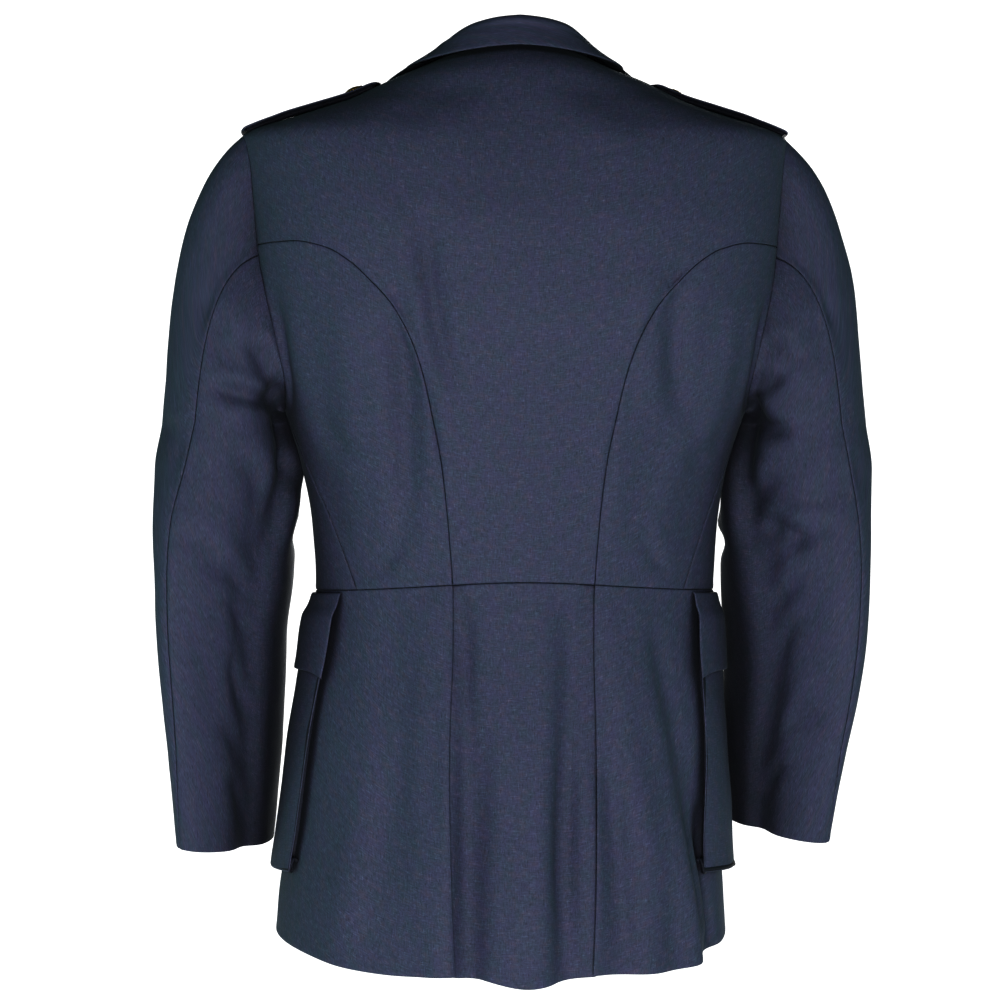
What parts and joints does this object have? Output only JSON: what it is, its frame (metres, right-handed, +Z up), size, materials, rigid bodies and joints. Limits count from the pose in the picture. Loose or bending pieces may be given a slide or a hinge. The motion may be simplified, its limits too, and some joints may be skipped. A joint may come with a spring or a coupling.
{
  "type": "military dress tunic",
  "caption": "Tailored dress tunic in its worn shape, hollow, with turned-down collar, step lapels, shoulder straps, princess seams, bellows hip pockets and a flared skirt below a waist seam.",
  "frame": {"origin": "middle of the neck opening, level with the collar seam at the shoulders, where the wearer's neck holds the tunic", "axes": "+Z up through the neck, the front of the tunic faces -Y and the wearer's left is +X"},
  "size_m": [0.5991, 0.2918, 0.792],
  "materials": {
    "navy_wool": "dark navy worsted wool blend, fine plain weave with a slightly flecked yarn, matt with a faint sheen",
    "button_brass": "plain domed gilt brass, softly polished"
  },
  "bodies": {
    "root": {"back_centre": "navy_wool", "side_back_left": "navy_wool", "side_back_right": "navy_wool", "front_left": "navy_wool", "front_right": "navy_wool", "lapel_left": "navy_wool", "lapel_right": "navy_wool", "collar": "navy_wool", "skirt_back": "navy_wool", "skirt_left": "navy_wool", "skirt_right": "navy_wool", "sleeve_top_left": "navy_wool", "sleeve_top_right": "navy_wool", "sleeve_under_left": "navy_wool", "sleeve_under_right": "navy_wool", "strap_left": "navy_wool", "strap_right": "navy_wool", "pocket_left": "navy_wool", "pocket_right": "navy_wool", "flap_left": "navy_wool", "flap_right": "navy_wool", "strap_button_left": "button_brass", "strap_button_right": "button_brass", "front_button_1": "button_brass", "front_button_2": "button_brass", "front_button_3": "button_brass", "front_button_4": "button_brass"}
  },
  "joints": []
}
